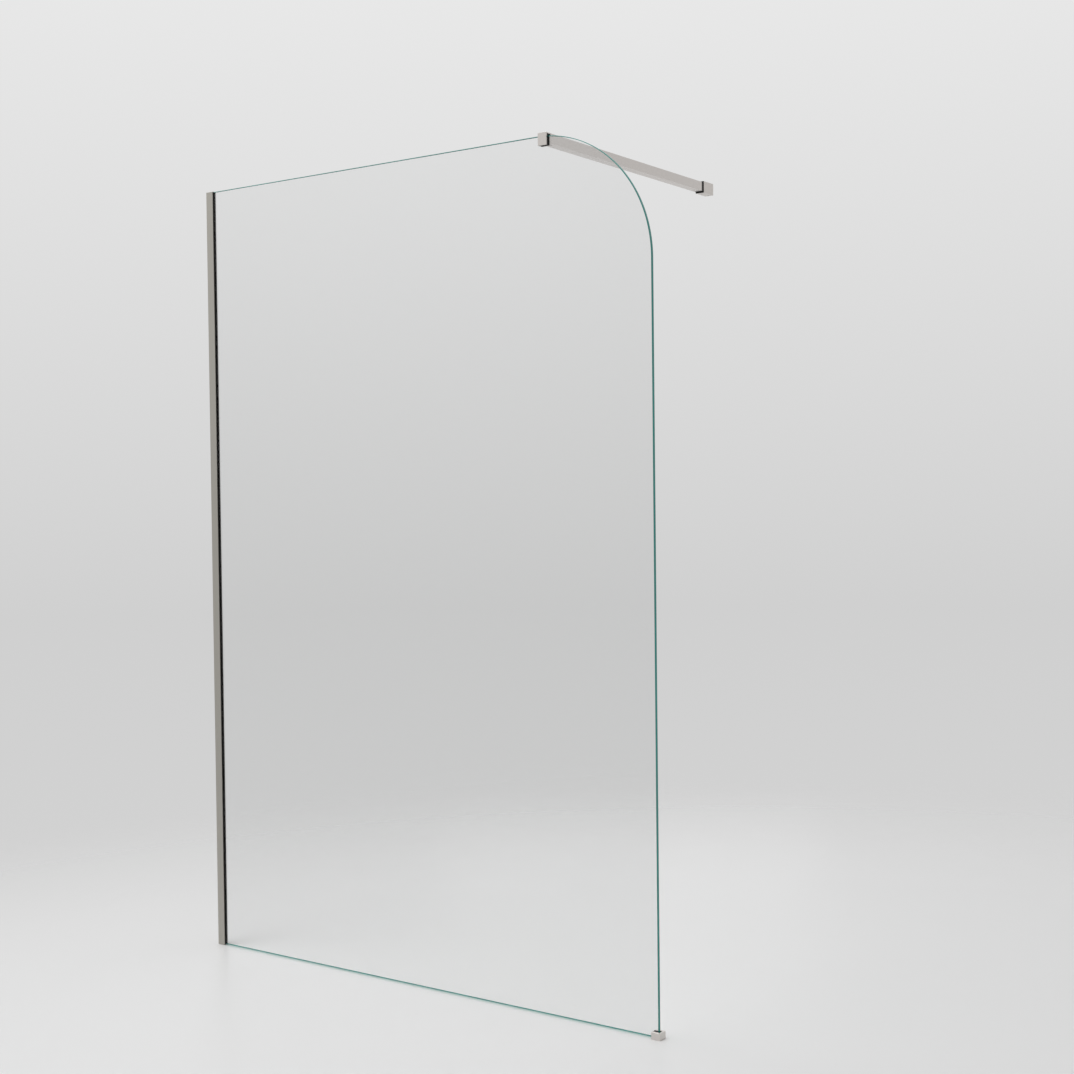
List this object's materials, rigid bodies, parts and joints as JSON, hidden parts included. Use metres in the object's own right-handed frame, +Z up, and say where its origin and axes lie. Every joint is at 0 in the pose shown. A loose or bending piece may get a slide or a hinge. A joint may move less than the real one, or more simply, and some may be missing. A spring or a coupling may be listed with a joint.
{
  "type": "walk-in shower screen",
  "caption": "Walk-in shower screen: clear fixed glass pane with a rounded top corner, brushed nickel wall channel, square support bar with clamp and wall socket, small floor foot.",
  "frame": {"origin": "corner where the wall that carries the channel, the middle plane of the glass and the floor meet", "axes": "+X from the wall along the glass to its free edge, +Y from the glass to the facing wall along the support bar, +Z up"},
  "size_m": [1.372, 0.777, 2.0085],
  "materials": {
    "clear_glass": "clear toughened glass with polished green edges",
    "nickel_profile": "brushed nickel, grain along the profile",
    "nickel_bar": "brushed nickel, grain along the bar",
    "nickel_fitting": "satin nickel on machined fittings",
    "black_rubber": "matt black rubber",
    "black_nylon": "matt black nylon",
    "grey_plastic": "translucent grey packer",
    "plain_steel": "plain machined metal, hidden inside",
    "screw_steel": "stainless grub screws"
  },
  "bodies": {
    "channel": {"wall_channel": "nickel_profile", "front_gasket": "black_rubber", "rear_gasket": "black_rubber", "glass_packer": "grey_plastic"},
    "glass": {"glass_panel": "clear_glass", "foot_body": "nickel_fitting", "foot_liner": "black_rubber", "foot_plate": "plain_steel", "foot_screw": "screw_steel"},
    "arm": {"clamp_body": "nickel_fitting", "clamp_liner": "black_rubber", "clamp_plate": "plain_steel", "clamp_screw": "screw_steel", "support_bar": "nickel_bar", "bar_front_screw": "screw_steel", "bar_rear_screw": "screw_steel"},
    "wall_end": {"bar_insert": "plain_steel", "socket_bush": "black_nylon", "wall_socket": "nickel_fitting", "wall_anchor": "plain_steel", "bush_screw": "screw_steel", "anchor_screw": "screw_steel"}
  },
  "joints": [
    {"name": "glass_adjust", "type": "slide", "parent": "channel", "child": "glass", "axis": [1, 0, 0], "range_m": [-0.004, 0.006]},
    {"name": "arm_along_glass", "type": "slide", "parent": "glass", "child": "arm", "axis": [1, 0, 0], "range_m": [-0.8, 0]},
    {"name": "reach_adjust", "type": "slide", "parent": "arm", "child": "wall_end", "axis": [0, 1, 0], "range_m": [0, 0.015]}
  ]
}
